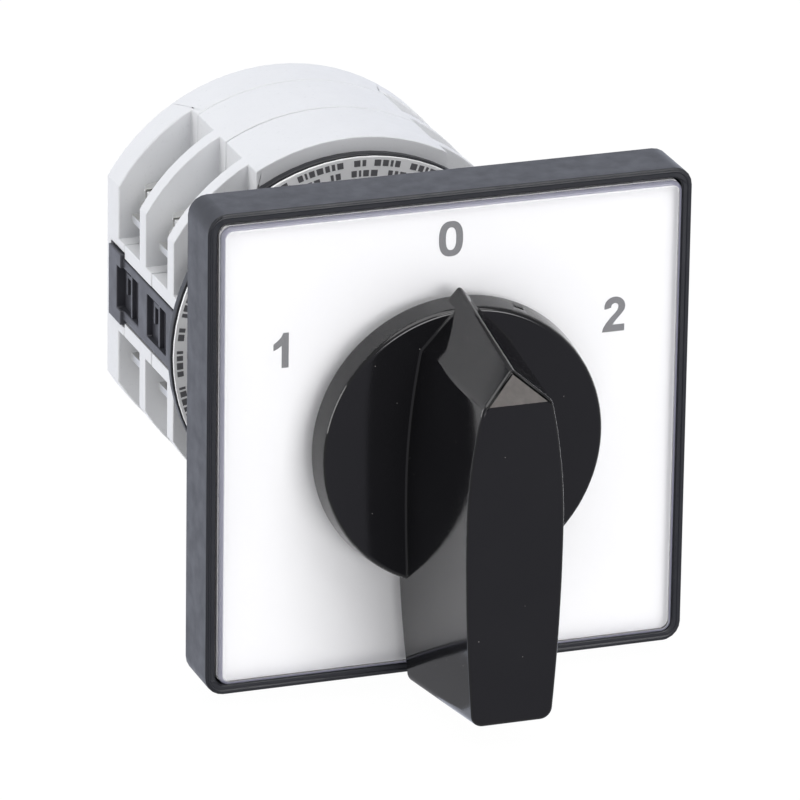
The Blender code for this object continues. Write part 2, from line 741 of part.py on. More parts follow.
def cams(mat):
    for number in (1, 2):
        name = f"cam_{number}"
        start = fin_front(number) + FIN_THICK + 2 * GAP
        end = fin_front(number) + WAFER_PITCH - CAM_BACK
        cam = slab(name, cam_outline(), (start, end))
        join(cam, round_bar(name + "_hub", HUB_CAM_R, cam_start(number), start + OVER, segments=24))
        keep(cut(cam, square_bore(name + "_bore", (cam_start(number) - OVER, end + OVER))), mat)


def terminals(brass, steel):
    """Fixed contacts from inside each wafer out into its chamber, with their clamp screws."""
    low = CONTACT_Z
    high = CONTACT_Z + CONTACT_THICK
    for number in (1, 2):
        middle = contact_y(number)
        for up, level in levels():
            for side, hand in sides():
                name = f"terminal_{number}_{level}_{hand}"
                width = (middle - CONTACT_HALF, middle + CONTACT_HALF)
                strip = box(name, (side * TERMINAL_START, side * TERMINAL_END), width, (up * low, up * high))
                tip_ends = sorted((up * (high - JOINT), up * (high + TIP_THICK)))
                tip = round_bar(name + "_tip", TIP_R, *tip_ends, "Z", (side * TIP_X, middle), segments=12)
                join(strip, tip)
                hole_ends = sorted((up * (low - OVER), up * (high + OVER)))
                place = (side * SCREW_X, middle)
                cut(strip, round_bar(name + "_hole", SCREW_R + LOOSE, *hole_ends, "Z", place, segments=14))
                keep(strip, brass)
                terminal_screw(f"terminal_screw_{number}_{level}_{hand}", place, up, high, steel)


def terminal_screw(name, place, up, seat, mat):
    def ends(heights):
        return sorted(up * (seat + height) for height in heights)

    screw = round_bar(name, SCREW_HEAD_R, *ends(SCREW_HEAD), "Z", place, segments=18)
    washer = round_bar(name + "_washer", SCREW_HEAD_R + WASHER_RIM, *ends(SCREW_WASHER), "Z", place, segments=18)
    shank = round_bar(name + "_shank", SCREW_R, *ends(SCREW_SHANK), "Z", place, segments=10)
    join(screw, washer, shank)
    x, y = place
    reach = SCREW_HEAD_R + OVER
    z = ends((SCREW_SLOT_FLOOR, SCREW_HEAD[1] + OVER))
    cut(screw, box(name + "_slot", (x - reach, x + reach), (y - CROSS_HALF, y + CROSS_HALF), z))
    keep(screw, mat)


def bridges(plastic, brass, spring_mat):
    """Followers with their contact strips and springs."""
    tip_low = CONTACT_Z + CONTACT_THICK + TIP_THICK + OPEN_GAP
    strip_low = tip_low + TIP_THICK
    strip_high = strip_low + CONTACT_THICK
    for number in (1, 2):
        middle = contact_y(number)
        for up, level in levels():
            name = f"carrier_{number}_{level}"
            foot = CAM_R + GAP
            carrier = box(
                name, (-CARRIER_X, CARRIER_X), (middle - CARRIER_Y, middle + CARRIER_Y),
                (up * (foot + FOOT_TALL), up * CARRIER_TOP),
            )
            join(carrier, box(
                name + "_foot", (-FOOT_X, FOOT_X), (middle - FOOT_Y, middle + FOOT_Y),
                (up * foot, up * (foot + FOOT_TALL + JOINT)),
            ))
            reach = CARRIER_X + OVER
            cut(carrier, box(
                name + "_window", (-reach, reach), (middle - STRIP_HALF - GAP, middle + STRIP_HALF + GAP),
                (up * (strip_low - GAP), up * (strip_high + GAP)),
            ))
            keep(carrier, plastic)
            name = f"strip_{number}_{level}"
            strip = box(
                name, (-STRIP_X, STRIP_X), (middle - STRIP_HALF, middle + STRIP_HALF),
                (up * strip_low, up * strip_high),
            )
            for side, hand in sides():
                tip_ends = sorted((up * tip_low, up * (strip_low + JOINT)))
                join(strip, round_bar(f"{name}_tip_{hand}", TIP_R, *tip_ends, "Z", (side * TIP_X, middle), segments=12))
            keep(strip, brass)

            def place(along, a, b, up=up, middle=middle):
                return a, middle + b, up * along

            ends = (CARRIER_TOP + SPRING_SEAT, SPRING_TOP)
            coil(f"bridge_spring_{number}_{level}", BRIDGE_SPRING, *ends, place, spring_mat)


def build():
    clear_scene()
    black = material("black_plastic", (0.012, 0.012, 0.014), 0.28)
    knob_black = material("knob_plastic", (0.010, 0.010, 0.012), 0.20)
    clear = material("clear_cover", (0.9, 0.9, 0.93), 0.06, alpha=0.35)
    white = material("legend_white", (0.85, 0.85, 0.86), 0.45)
    grey = material("housing_grey", (0.66, 0.67, 0.71), 0.40)
    label = material("label_paper", (0.82, 0.82, 0.83), 0.50)
    nylon = material("natural_nylon", (0.72, 0.70, 0.64), 0.45)
    brass = material("contact_brass", (0.78, 0.57, 0.28), 0.30, 1.0)
    steel = material("zinc_steel", (0.60, 0.60, 0.62), 0.30, 1.0)
    spring = material("spring_steel", (0.42, 0.42, 0.44), 0.32, 1.0)
    front_frame(black)
    legend_plate(white)
    window_cover(clear)
    fixing_screws(steel)
    knob(knob_black)
    handle_cap(knob_black)
    knob_screw(steel)
    shaft(steel)
    shaft_bush(nylon)
    mounting_base(black)
    latch_housing(black)
    rating_label(label)
    star_wheel(nylon)
    latch_plungers(nylon, spring)
    for number in (1, 2):
        wafer(number, grey)
    rear_plate(grey)
    side_clips(black)
    tie_screws(steel)
    cams(nylon)
    terminals(brass, steel)
    bridges(nylon, brass, spring)


build()
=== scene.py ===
"""Looks for the panel-mounted rotary changeover switch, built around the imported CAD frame.

Lengths are in millimetres until MM turns them into metres. The studio's own places are in metres."""

import json
import math
from collections import namedtuple

import bmesh
import bpy
from mathutils import Matrix, Vector


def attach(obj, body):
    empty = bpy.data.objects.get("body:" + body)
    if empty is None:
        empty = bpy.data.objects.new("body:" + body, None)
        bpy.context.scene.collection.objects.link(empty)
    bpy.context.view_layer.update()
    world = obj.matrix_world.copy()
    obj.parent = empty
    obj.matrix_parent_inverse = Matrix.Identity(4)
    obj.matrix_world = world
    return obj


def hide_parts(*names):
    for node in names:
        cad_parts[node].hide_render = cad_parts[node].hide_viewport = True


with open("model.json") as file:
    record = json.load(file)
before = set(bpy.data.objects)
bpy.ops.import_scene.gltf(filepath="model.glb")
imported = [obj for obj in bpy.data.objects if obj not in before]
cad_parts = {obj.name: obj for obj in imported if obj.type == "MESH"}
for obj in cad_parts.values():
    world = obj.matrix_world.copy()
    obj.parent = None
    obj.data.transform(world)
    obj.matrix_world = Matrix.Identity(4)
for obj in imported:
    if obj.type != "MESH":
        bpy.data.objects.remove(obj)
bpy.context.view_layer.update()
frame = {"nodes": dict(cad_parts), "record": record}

MM = 0.001
NODES = frame["nodes"]
SCENE = bpy.context.scene

# Sizes and places, which follow the CAD. Y runs back into the panel, and Z is up.
FRAME_FRONT, FRAME_HALF, FRAME_CORNER = -8.3, 32.5, 2.5
COVER_FRONT, COVER_HALF, COVER_CORNER = -9.2, 30.95, 1.45
COVER_LIP = 0.72  # radius of the cover's rounded lip
COVER_HOLE_R = 16.0
LEGEND_FRONT = -7.9
LEGEND_INK = (LEGEND_FRONT - 0.03, LEGEND_FRONT + 0.02)
DIGIT_PLACES = {"digit_0": (0.0, 26.0), "digit_1": (-22.6, 13.4), "digit_2": (22.3, 13.4)}
SKIRT_BACK, SKIRT_FRONT = -10.1, -14.05
SKIRT_R_BACK, SKIRT_R_FRONT = 19.25, 18.76
BAR_BACK, BAR_FRONT = -10.9, -33.3
# Half widths and heights of the handle bar at its widest, its shoulders and its toe, with the height of its
# tip and the radius of the toe's corners
Section = namedtuple("Section", "wide wide_z shoulder shoulder_z tip_z toe toe_z corner")
BAR_SECTION_BACK = Section(7.9, -4.7, 6.2, 13.9, 20.9, 6.25, -32.8, 1.6)
BAR_SECTION_FRONT = Section(6.47, -4.0, 4.6, 12.7, 15.9, 5.45, -30.3, 1.6)
BAR_EDGE, FACET_EDGE = 0.48, 0.45  # width of the bar's rounded edges, and the share of it beside the facet
FACET_DROP = 0.71  # how far the facet falls back for each millimetre up
FACET_SEAM = 0.12  # gap round the facet's plate, beyond the middle of the groove
FACET_GROOVE = 0.40  # from the facet's upper edges to the middle of the groove along them
GROOVE_HALF_WIDTH, GROOVE_HALF_DEPTH = 0.13, 0.4
# The flare where the handle meets the skirt, as depths and how far it stands out from the bar there
FILLET_FLARE = (
    (-13.6, 0.24), (-14.05, 0.24), (-14.07, 0.17), (-14.11, 0.10), (-14.17, 0.05), (-14.23, 0.02),
    (-14.31, -0.03),
)
FILLET_R = 18.3  # the flare ends inside the skirt's rounded rim
HUB_R, HUB_BACK = 9.0, -3.2
SHAFT_CLEARANCE_R = 5.4
NOTCH_ANGLE = 66  # degrees from +X to the small notch in the skirt's rim
LABEL_INK = (27.47, 27.52)  # the print lies over the ring label's front
LABEL_ROWS = ((24.35, 0.85), (22.95, 0.85), (21.6, 0.6))  # radius and height of each row of dashes
CONTACT_MIDDLES = (40.4, 52.2)  # depths of the middle of each wafer's contacts
STRAP_FACE = 22.5  # how far out the moulded hooks start
FLOOR_Z = -0.0345  # metres, just under the frame and the handle's toe


# ---------------------------------------------------------------- materials

class Look:
    """A Principled material with its nodes at hand."""

    def __init__(self, name, colour, roughness, metallic=0.0, specular=0.5):
        self.mat = bpy.data.materials.new(name)
        self.mat.use_nodes = True
        self.tree = self.mat.node_tree
        self.shader = self.tree.nodes["Principled BSDF"]
        self.set("Base Color", (*colour, 1.0))
        self.set("Roughness", roughness)
        self.set("Metallic", metallic)
        self.set("Specular IOR Level", specular)
        self.set("IOR", 1.5)
        self.coords = self.tree.nodes.new("ShaderNodeTexCoord").outputs["Object"]

    def set(self, socket, value):
        self.shader.inputs[socket].default_value = value

    def node(self, kind, **values):
        made = self.tree.nodes.new("ShaderNode" + kind)
        for key, value in values.items():
            if key in made.inputs:
                made.inputs[key].default_value = value
            else:
                setattr(made, key, value)
        return made

    def link(self, out, into):
        self.tree.links.new(out, into)

    def noise(self, size_mm, detail=3.0):
        """Noise whose features are about size_mm across."""
        made = self.node("TexNoise", Scale=1 / (size_mm * MM), Detail=detail, Roughness=0.55)
        self.link(self.coords, made.inputs["Vector"])
        return made.outputs["Fac"]

    def spread(self, source, low, high, from_low=0.3, from_high=0.7):
        """The source's values between from_low and from_high, spread from low to high."""
        ramp = self.node("MapRange")
        self.link(source, ramp.inputs["Value"])
        ranges = {"From Min": from_low, "From Max": from_high, "To Min": low, "To Max": high}
        for name, value in ranges.items():
            ramp.inputs[name].default_value = value
        return ramp.outputs["Result"]

    def mix(self, factor, first, second):
        """A blend of two colours: a Mix node takes them at inputs 6 and 7, and gives it at output 2."""
        made = self.node("Mix", data_type="RGBA")
        for index, value in ((6, first), (7, second)):
            if hasattr(value, "is_linked"):
                self.link(value, made.inputs[index])
            else:
                made.inputs[index].default_value = (*value, 1.0)
        self.link(factor, made.inputs[0])
        return made.outputs[2]

    def colour(self, source):
        self.link(source, self.shader.inputs["Base Color"])

    def rough(self, source):
        self.link(source, self.shader.inputs["Roughness"])

    def bump(self, source, depth_mm):
        made = self.node("Bump", Strength=1.0, Distance=depth_mm * MM)
        self.link(source, made.inputs["Height"])
        self.link(made.outputs["Normal"], self.shader.inputs["Normal"])

    def specks(self, base, speck, spacing_mm, size):
        """Fine dust: small round specks, one in some of the cells of a grid."""
        cells = self.node("TexVoronoi", Scale=1 / (spacing_mm * MM), Randomness=1.0)
        self.link(self.coords, cells.inputs["Vector"])
        near = self.spread(cells.outputs["Distance"], 1.0, 0.0, size * 0.5, size)
        pick = self.node("SeparateColor")
        self.link(cells.outputs["Color"], pick.inputs["Color"])
        chosen = self.spread(pick.outputs[0], 0.0, 1.0, 0.78, 0.80)  # a fifth of the cells
        both = self.node("Math", operation="MULTIPLY")
        self.link(near, both.inputs[0])
        self.link(chosen, both.inputs[1])
        return self.mix(both.outputs[0], base, speck)


def satin_black(name, low, high):
    look = Look(name, low, 0.36)
    look.colour(look.mix(look.noise(6.0), low, high))
    look.rough(look.spread(look.noise(2.5), 0.32, 0.44))
    look.bump(look.noise(0.16, 2.0), 0.006)
    return look.mat


def knob_black(name, low, high):
    look = Look(name, (0.006, 0.006, 0.0065), low)
    plain = look.mix(look.noise(9.0), (0.0045, 0.0045, 0.0052), (0.0070, 0.0070, 0.0078))
    look.colour(look.specks(plain, (0.22, 0.21, 0.20), 1.5, 0.055))
    look.rough(look.spread(look.noise(3.0), low, high))
    look.bump(look.noise(0.22, 2.0), 0.003)
    return look.mat


def insert_black():
    look = Look("insert_black", (0.05, 0.045, 0.042), 0.42)
    look.colour(look.mix(look.noise(0.9, 4.0), (0.040, 0.035, 0.032), (0.085, 0.074, 0.068)))
    look.rough(look.spread(look.noise(0.5), 0.38, 0.52))
    look.bump(look.noise(0.12, 3.0), 0.006)
    return look.mat


def clear_plastic():
    """Clear sheet: flat faces that hardly show, and a rounded lip painted dark grey-lilac and nearly opaque,
    as painted shade for the dark that the thick lip refracts and reflects.
    """
    look = Look("clear_plastic", (0.9, 0.9, 0.93), 0.05)
    geometry = look.node("NewGeometry")
    facing = look.node("SeparateXYZ")
    look.link(geometry.outputs["Normal"], facing.inputs["Vector"])
    flat = look.node("Math", operation="ABSOLUTE")
    look.link(facing.outputs["Y"], flat.inputs[0])
    # Painted shade: the lip, picked out by its faces that don't face along Y, gets a dark grey-lilac colour
    # and a high alpha in place of the dark that it refracts and reflects.
    lip = look.spread(flat.outputs[0], 1.0, 0.0, 0.90, 0.9995)
    look.link(look.spread(lip, 0.05, 0.84, 0.0, 1.0), look.shader.inputs["Alpha"])
    look.colour(look.mix(lip, (0.93, 0.93, 0.95), (0.17, 0.17, 0.23)))
    look.rough(look.spread(look.noise(4.0), 0.04, 0.09))
    return look.mat


def legend_white():
    look = Look("legend_white", (0.88, 0.88, 0.885), 0.42)
    look.colour(look.mix(look.noise(14.0, 2.0), (0.885, 0.885, 0.89), (0.90, 0.898, 0.90)))
    look.rough(look.spread(look.noise(1.5), 0.36, 0.46))
    look.bump(look.noise(0.10, 2.0), 0.002)
    return look.mat


def print_grey():
    look = Look("print_grey", (0.125, 0.125, 0.135), 0.5)
    look.colour(look.mix(look.noise(0.35, 3.0), (0.112, 0.112, 0.120), (0.145, 0.145, 0.152)))
    look.rough(look.spread(look.noise(0.6), 0.42, 0.58))
    return look.mat


def housing_grey():
    look = Look("housing_grey", (0.70, 0.715, 0.745), 0.36)
    base = look.mix(look.noise(7.0, 3.0), (0.700, 0.708, 0.722), (0.745, 0.752, 0.765))
    darker_flecks = look.spread(look.noise(0.5, 2.0), 0.0, 1.0, 0.62, 0.80)
    look.colour(look.mix(darker_flecks, base, (0.66, 0.667, 0.68)))
    look.rough(look.spread(look.noise(1.6), 0.32, 0.46))
    look.bump(look.noise(0.30, 2.0), 0.005)
    return look.mat


def label_paper():
    look = Look("label_paper", (0.92, 0.92, 0.925), 0.45)
    look.colour(look.mix(look.noise(3.0), (0.90, 0.90, 0.905), (0.94, 0.94, 0.942)))
    look.rough(look.spread(look.noise(0.8), 0.38, 0.52))
    look.bump(look.noise(0.08, 2.0), 0.002)
    return look.mat


def nylon():
    look = Look("natural_nylon", (0.72, 0.70, 0.63), 0.42)
    look.colour(look.mix(look.noise(3.0), (0.68, 0.66, 0.585), (0.76, 0.74, 0.67)))
    look.rough(look.spread(look.noise(0.9), 0.36, 0.52))
    look.bump(look.noise(0.2, 2.0), 0.004)
    return look.mat


def metal(name, low, high, rough_low, rough_high):
    look = Look(name, low, rough_low, metallic=1.0)
    look.colour(look.mix(look.noise(1.2, 4.0), low, high))
    look.rough(look.spread(look.noise(0.4, 3.0), rough_low, rough_high))
    look.bump(look.noise(0.12, 2.0), 0.003)
    return look.mat


BLACK = satin_black("satin_black", (0.009, 0.0100, 0.0135), (0.013, 0.0142, 0.0185))
STRAP = satin_black("strap_black", (0.040, 0.041, 0.050), (0.052, 0.053, 0.063))
KNOB = knob_black("knob_black", 0.06, 0.10)
INSERT = insert_black()
CLEAR = clear_plastic()
WHITE = legend_white()
PRINT = print_grey()
GREY = housing_grey()
LABEL = label_paper()
NYLON = nylon()
BRASS = metal("contact_brass", (0.72, 0.50, 0.22), (0.86, 0.66, 0.36), 0.22, 0.40)
STEEL = metal("zinc_steel", (0.55, 0.56, 0.58), (0.72, 0.73, 0.75), 0.20, 0.36)
SPRING = metal("spring_wire", (0.36, 0.36, 0.38), (0.50, 0.50, 0.52), 0.24, 0.38)
TIN = metal("tin_plate", (0.62, 0.62, 0.60), (0.78, 0.78, 0.76), 0.30, 0.46)
SLOT_LOOKS = {
    "black_plastic": BLACK, "knob_plastic": KNOB, "clear_cover": CLEAR, "legend_white": WHITE,
    "housing_grey": GREY, "label_paper": LABEL, "natural_nylon": NYLON, "contact_brass": BRASS,
    "zinc_steel": STEEL, "spring_steel": SPRING,
}


# ---------------------------------------------------------------- mesh helpers

def object_of(name, bm, mat=None, smooth=35):
    """A new object from this bmesh, whose points are in millimetres."""
    bmesh.ops.scale(bm, vec=(MM, MM, MM), verts=bm.verts)
    bmesh.ops.recalc_face_normals(bm, faces=bm.faces)
    mesh = bpy.data.meshes.new(name)
    bm.to_mesh(mesh)
    bm.free()
    obj = bpy.data.objects.new(name, mesh)
    SCENE.collection.objects.link(obj)
    if mat:
        mesh.materials.append(mat)
    mesh.shade_smooth()
    mesh.set_sharp_from_angle(angle=math.radians(smooth))
    return obj


def piece(obj, body, slot, *nodes):
    """Makes obj a shown piece that rides on a body and stands for these CAD nodes."""
    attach(obj, body)
    if nodes:
        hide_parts(*nodes)


def rounded_edges(obj, width, segments, weld=False):
    """Rounds the edges sharper than 30 degrees, to a width in millimetres."""
    if weld:
        merge = obj.modifiers.new("weld", "WELD")
        merge.merge_threshold = 1e-5
    bevel = obj.modifiers.new("rounded", "BEVEL")
    bevel.limit_method = "ANGLE"
    bevel.angle_limit = math.radians(30)
    bevel.width = width * MM
    bevel.segments = segments
    bevel.use_clamp_overlap = False
    return obj


def flat_faces(obj):
    """Lets the large faces set the shading at their edges, so that they stay flat beside a rounded edge."""
    normals = obj.modifiers.new("normals", "WEIGHTED_NORMAL")
    normals.mode = "FACE_AREA"
    normals.weight = 100
    normals.thresh = 0.001


def applied(obj):
    """Bakes this object's modifiers into its mesh."""
    graph = bpy.context.evaluated_depsgraph_get()
    mesh = bpy.data.meshes.new_from_object(obj.evaluated_get(graph))
    old = obj.data
    obj.modifiers.clear()
    obj.data = mesh
    bpy.data.meshes.remove(old)


def combine(obj, operation, tool):
    """Cuts or clips obj with the tool, and removes the tool."""
    change = obj.modifiers.new(tool.name, "BOOLEAN")
    change.operation = operation
    change.object = tool
    applied(obj)
    bpy.data.objects.remove(tool, do_unlink=True)


def loft(name, rings):
    """A closed solid through rings of (x, y, z) points, with flat ends."""
    bm = bmesh.new()
    made = [[bm.verts.new(p) for p in ring] for ring in rings]
    count = len(made[0])
    bm.faces.new(made[0])
    bm.faces.new(list(reversed(made[-1])))
    for near, far in zip(made, made[1:]):
        for i in range(count):
            j = (i + 1) % count
            bm.faces.new((near[i], far[i], far[j], near[j]))
    return object_of(name, bm)


def ring_loft(name, profile, outline, mat):
    """A frame: a closed profile of (inset, y) carried round an outline(inset) of (x, z) points."""
    bm = bmesh.new()
    rows = [[bm.verts.new((x, y, z)) for x, z in outline(inset)] for inset, y in profile]
    count = len(rows[0])
    for a, b in zip(rows, rows[1:] + rows[:1]):
        for i in range(count):
            j = (i + 1) % count
            bm.faces.new((a[i], b[i], b[j], a[j]))
    return object_of(name, bm, mat)


def turned(name, profile, steps):
    """A solid of revolution about the Y axis, from a profile of (radius, y) whose ends are on the axis."""
    bm = bmesh.new()
    angles = [2 * math.pi * i / steps for i in range(steps)]
    rows = []
    for radius, y in profile:
        if radius == 0:
            rows.append([bm.verts.new((0, y, 0))])
        else:
            rows.append([bm.verts.new((radius * math.cos(a), y, radius * math.sin(a))) for a in angles])
    for a, b in zip(rows, rows[1:]):
        for i in range(steps):
            j = (i + 1) % steps
            if len(a) == 1:
                bm.faces.new((a[0], b[i], b[j]))
            elif len(b) == 1:
                bm.faces.new((a[i], b[0], a[j]))
            else:
                bm.faces.new((a[i], b[i], b[j], a[j]))
    return object_of(name, bm)


def prism(bm, outline, y):
    """Adds a flat outline of (x, z) points to bm with a thickness along Y."""
    near = [bm.verts.new((x, y[0], z)) for x, z in outline]
    far = [bm.verts.new((x, y[1], z)) for x, z in outline]
    bm.faces.new(near)
    bm.faces.new(list(reversed(far)))
    for i in range(len(outline)):
        j = (i + 1) % len(outline)
        bm.faces.new((near[i], far[i], far[j], near[j]))


def block(bm, centre, along, across, up):
    """Adds a block to bm, given its centre and three half-edge vectors."""
    corners = {
        (a, b, c): bm.verts.new(centre + a * along + b * across + c * up)
        for a in (-1, 1) for b in (-1, 1) for c in (-1, 1)
    }
    for k in range(3):
        for s in (-1, 1):
            loop = []
            for u, v in ((-1, -1), (-1, 1), (1, 1), (1, -1)):
                key = [u, v]
                key.insert(k, s)
                loop.append(corners[tuple(key)])
            bm.faces.new(loop)


def arc(centre, radius, start, end, steps, squash=1.0):
    """Points on an arc, with its angles in degrees."""
    angles = [math.radians(start + (end - start) * i / steps) for i in range(steps + 1)]
    return [(centre[0] + radius * math.cos(a), centre[1] + radius * squash * math.sin(a)) for a in angles]


def rounded_square(half, radius, steps=8):
    """The (x, z) outline of a square of this half width, with round corners."""
    reach = half - radius
    points = []
    for (x, z), start in zip(((1, 1), (-1, 1), (-1, -1), (1, -1)), (0, 90, 180, 270)):
        points += arc((x * reach, z * reach), radius, start, start + 90, steps)
    return points


# ---------------------------------------------------------------- dial

def frame_rim():
    """The fine bead that runs round the frame's front rim."""
    def outline(inset):
        return rounded_square(FRAME_HALF - inset, max(0.4, FRAME_CORNER - inset))

    low, high = FRAME_FRONT + 0.05, FRAME_FRONT - 0.12
    profile = [
        (0.30, low), (0.32, high + 0.06), (0.40, high + 0.01), (0.50, high), (0.60, high + 0.03), (0.72, low),
    ]
    piece(ring_loft("frame_rim_bead", profile, outline, BLACK), "housing", "black_plastic")


def window():
    """The clear cover: a sheet with a rounded lip, and a round hole behind the knob."""
    def square(inset):
        return rounded_square(COVER_HALF - inset, max(0.3, COVER_CORNER - inset), 12)

    def hole(radius):
        """A circle with a point for each point of the square, in the same direction from the middle."""
        angles = [math.atan2(z, x) for x, z in square(0)]
        return [(radius * math.cos(a), radius * math.sin(a)) for a in angles]

    rows = [(square(0), FRAME_FRONT), (square(0), COVER_FRONT + COVER_LIP)]
    lip_steps = 6
    for i in range(1, lip_steps + 1):
        a = math.pi / 2 * i / lip_steps
        rows.append((square(COVER_LIP * (1 - math.cos(a))), COVER_FRONT + COVER_LIP * (1 - math.sin(a))))
    chamfer = 0.3
    rows += [
        (hole(COVER_HOLE_R + chamfer), COVER_FRONT), (hole(COVER_HOLE_R), COVER_FRONT + chamfer),
        (hole(COVER_HOLE_R), FRAME_FRONT),
    ]
    bm = bmesh.new()
    made = [[bm.verts.new((x, y, z)) for x, z in row] for row, y in rows]
    count = len(made[0])
    for a, b in zip(made, made[1:] + made[:1]):
        for i in range(count):
            j = (i + 1) % count
            bm.faces.new((a[i], b[i], b[j], a[j]))
    sheet = object_of("cover_sheet", bm, CLEAR, 30)
    flat_faces(sheet)
    piece(sheet, "housing", "clear_cover", "window_cover")


def filled(name, outlines, y):
    """A flat solid between two depths, from an outer outline of (x, z) points and any holes in it."""
    curve = bpy.data.curves.new(name, "CURVE")
    curve.dimensions = "2D"
    curve.fill_mode = "BOTH"
    curve.extrude = abs(y[1] - y[0]) / 2 * MM
    for outline in outlines:
        spline = curve.splines.new("POLY")
        spline.points.add(len(outline) - 1)
        for point, (x, z) in zip(spline.points, outline):
            point.co = (x * MM, z * MM, 0, 1)
        spline.use_cyclic_u = True
    guide = bpy.data.objects.new(name, curve)
    SCENE.collection.objects.link(guide)
    graph = bpy.context.evaluated_depsgraph_get()
    mesh = bpy.data.meshes.new_from_object(guide.evaluated_get(graph))
    bpy.data.objects.remove(guide, do_unlink=True)
    bpy.data.curves.remove(curve)
    mesh.transform(Matrix.Translation((0, (y[0] + y[1]) / 2 * MM, 0)) @ Matrix.Rotation(math.pi / 2, 4, "X"))
    mesh.name = name
    obj = bpy.data.objects.new(name, mesh)
    SCENE.collection.objects.link(obj)
    return obj


def digit(name, *outlines):
    """Printed figure. The first outline is its outer edge, and a second one is its counter."""
    across, up = DIGIT_PLACES[name]
    moved = [[(x + across, z + up) for x, z in outline] for outline in outlines]
    figure = filled(name, moved, LEGEND_INK)
    figure.data.materials.clear()
    figure.data.materials.append(PRINT)
    piece(figure, "housing", "legend_white")


def oval(half_x, half_z):
    """A slightly squared oval, as a superellipse."""
    power, steps = 2.5, 64

    def squared(value):
        return math.copysign(abs(value) ** (2 / power), value)

    angles = [2 * math.pi * i / steps for i in range(steps)]
    return [(half_x * squared(math.cos(a)), half_z * squared(math.sin(a))) for a in angles]


def digits():
    digit("digit_0", oval(1.62, 2.36), oval(0.70, 1.52))
    one = [
        (0.30, 2.35), (1.03, 2.35), (1.03, -2.35), (0.10, -2.35), (0.10, 0.65), (-0.45, 0.28),
        (-1.00, 0.04), (-1.00, 0.92), (-0.45, 1.32), (0.02, 1.78),
    ]
    digit("digit_1", one)
    bowl = (0.15, 1.02)
    two = arc(bowl, 1.42, 193, -22, 26, 0.95)
    two += [
        (1.10, 0.02), (0.60, -0.50), (0.20, -0.95), (-0.12, -1.42), (1.50, -1.42), (1.50, -2.35),
        (-1.55, -2.35),
    ]
    two += [(-1.38, -1.75), (-0.98, -1.12), (-0.40, -0.44), (0.25, 0.20), (0.52, 0.55)]
    two += arc(bowl, 0.50, -22, 193, 18, 0.96)
    digit("digit_2", two)


# ---------------------------------------------------------------- body behind the panel

def label_marks():
    """Rows of short printed dashes round the ring label, which stand for its lines of print."""
    row_start, last_angle = 4.0, 356  # degrees
    shortest, growth = 0.28, 0.62
    letter_gap, word_gap = 0.30, 1.5
    bm = bmesh.new()
    for row, (radius, tall) in enumerate(LABEL_ROWS):
        angle, number = row_start * row, 0
        while angle < last_angle:
            number += 1
            wide = shortest + growth * abs(math.sin(number * 2.3 + row))
            gap = word_gap if number % 7 == 0 else letter_gap
            if number % 11:
                low, high = radius - tall / 2, radius + tall / 2
                ends = (angle, angle + math.degrees(wide / radius))
                prism(bm, arc((0, 0), high, *ends, 2) + arc((0, 0), low, *reversed(ends), 2), LABEL_INK)
            angle += math.degrees((wide + gap) / radius)
    piece(object_of("label_marks", bm, PRINT), "housing", "label_paper")


def strap_relief():
    """Moulded hooks and ribs inside the windows of the side straps."""
    for side, hand in ((-1, "left"), (1, "right")):
        bm = bmesh.new()
        out, along, up = Vector((side, 0, 0)), Vector((0, 1, 0)), Vector((0, 0, 1))

        def bar(x, y, z):
            centre = out * (x[0] + x[1]) / 2 + along * (y[0] + y[1]) / 2 + up * (z[0] + z[1]) / 2
            block(bm, centre, out * (x[1] - x[0]) / 2, along * (y[1] - y[0]) / 2, up * (z[1] - z[0]) / 2)

        for middle in CONTACT_MIDDLES:
            bar((STRAP_FACE - 0.3, STRAP_FACE + 0.1), (middle - 4.2, middle + 4.2), (-3.2, 3.2))
            bar((STRAP_FACE, STRAP_FACE + 0.7), (middle - 0.9, middle - 0.3), (-3.1, 3.1))
            bar((STRAP_FACE, STRAP_FACE + 0.5), (middle - 0.4, middle + 2.3), (1.9, 2.5))
            bar((STRAP_FACE, STRAP_FACE + 0.5), (middle + 1.7, middle + 2.3), (-0.6, 2.0))
            bar((STRAP_FACE, STRAP_FACE + 0.4), (middle - 3.9, middle - 3.3), (-3.1, 3.1))
        relief = object_of(f"strap_relief_{hand}", bm, STRAP)
        flat_faces(rounded_edges(relief, 0.08, 2))
        piece(relief, "housing", "black_plastic")


# ---------------------------------------------------------------- knob

def bar_outline(section, inset=0.0):
    """The handle bar's outline at one depth: pointer tip, bowed sides and a toe with round corners."""
    wide, wide_z, shoulder, shoulder_z, tip_z, toe, toe_z, corner = section
    wide, shoulder, toe = wide - inset, shoulder - inset, toe - inset
    tip_z, toe_z, corner = tip_z - 1.35 * inset, toe_z + inset, max(0.6, corner - inset)
    shoulder_z = shoulder_z - 0.45 * inset
    steps = 12
    side = []
    for i in range(steps + 1):
        t = i / steps
        side.append((wide - (wide - shoulder) * (1 - t) ** 2, shoulder_z + (wide_z - shoulder_z) * t))
    low = toe_z + corner
    for i in range(1, steps + 1):
        t = i / steps
        side.append((wide - (wide - toe) * t**2, wide_z + (low - wide_z) * t))
    side += arc((toe - corner, low), corner, 0, -90, 8)[1:]
    return [(0, tip_z)] + side + [(-x, z) for x, z in reversed(side)]


def bar_ring(y, inset=0.0):
    """The bar's outline at this depth, between its back and front sections."""
    t = (y - BAR_BACK) / (BAR_FRONT - BAR_BACK)
    near = bar_outline(BAR_SECTION_BACK, inset)
    far = bar_outline(BAR_SECTION_FRONT, inset)
    return [(a[0] + (b[0] - a[0]) * t, y, a[1] + (b[1] - a[1]) * t) for a, b in zip(near, far)]


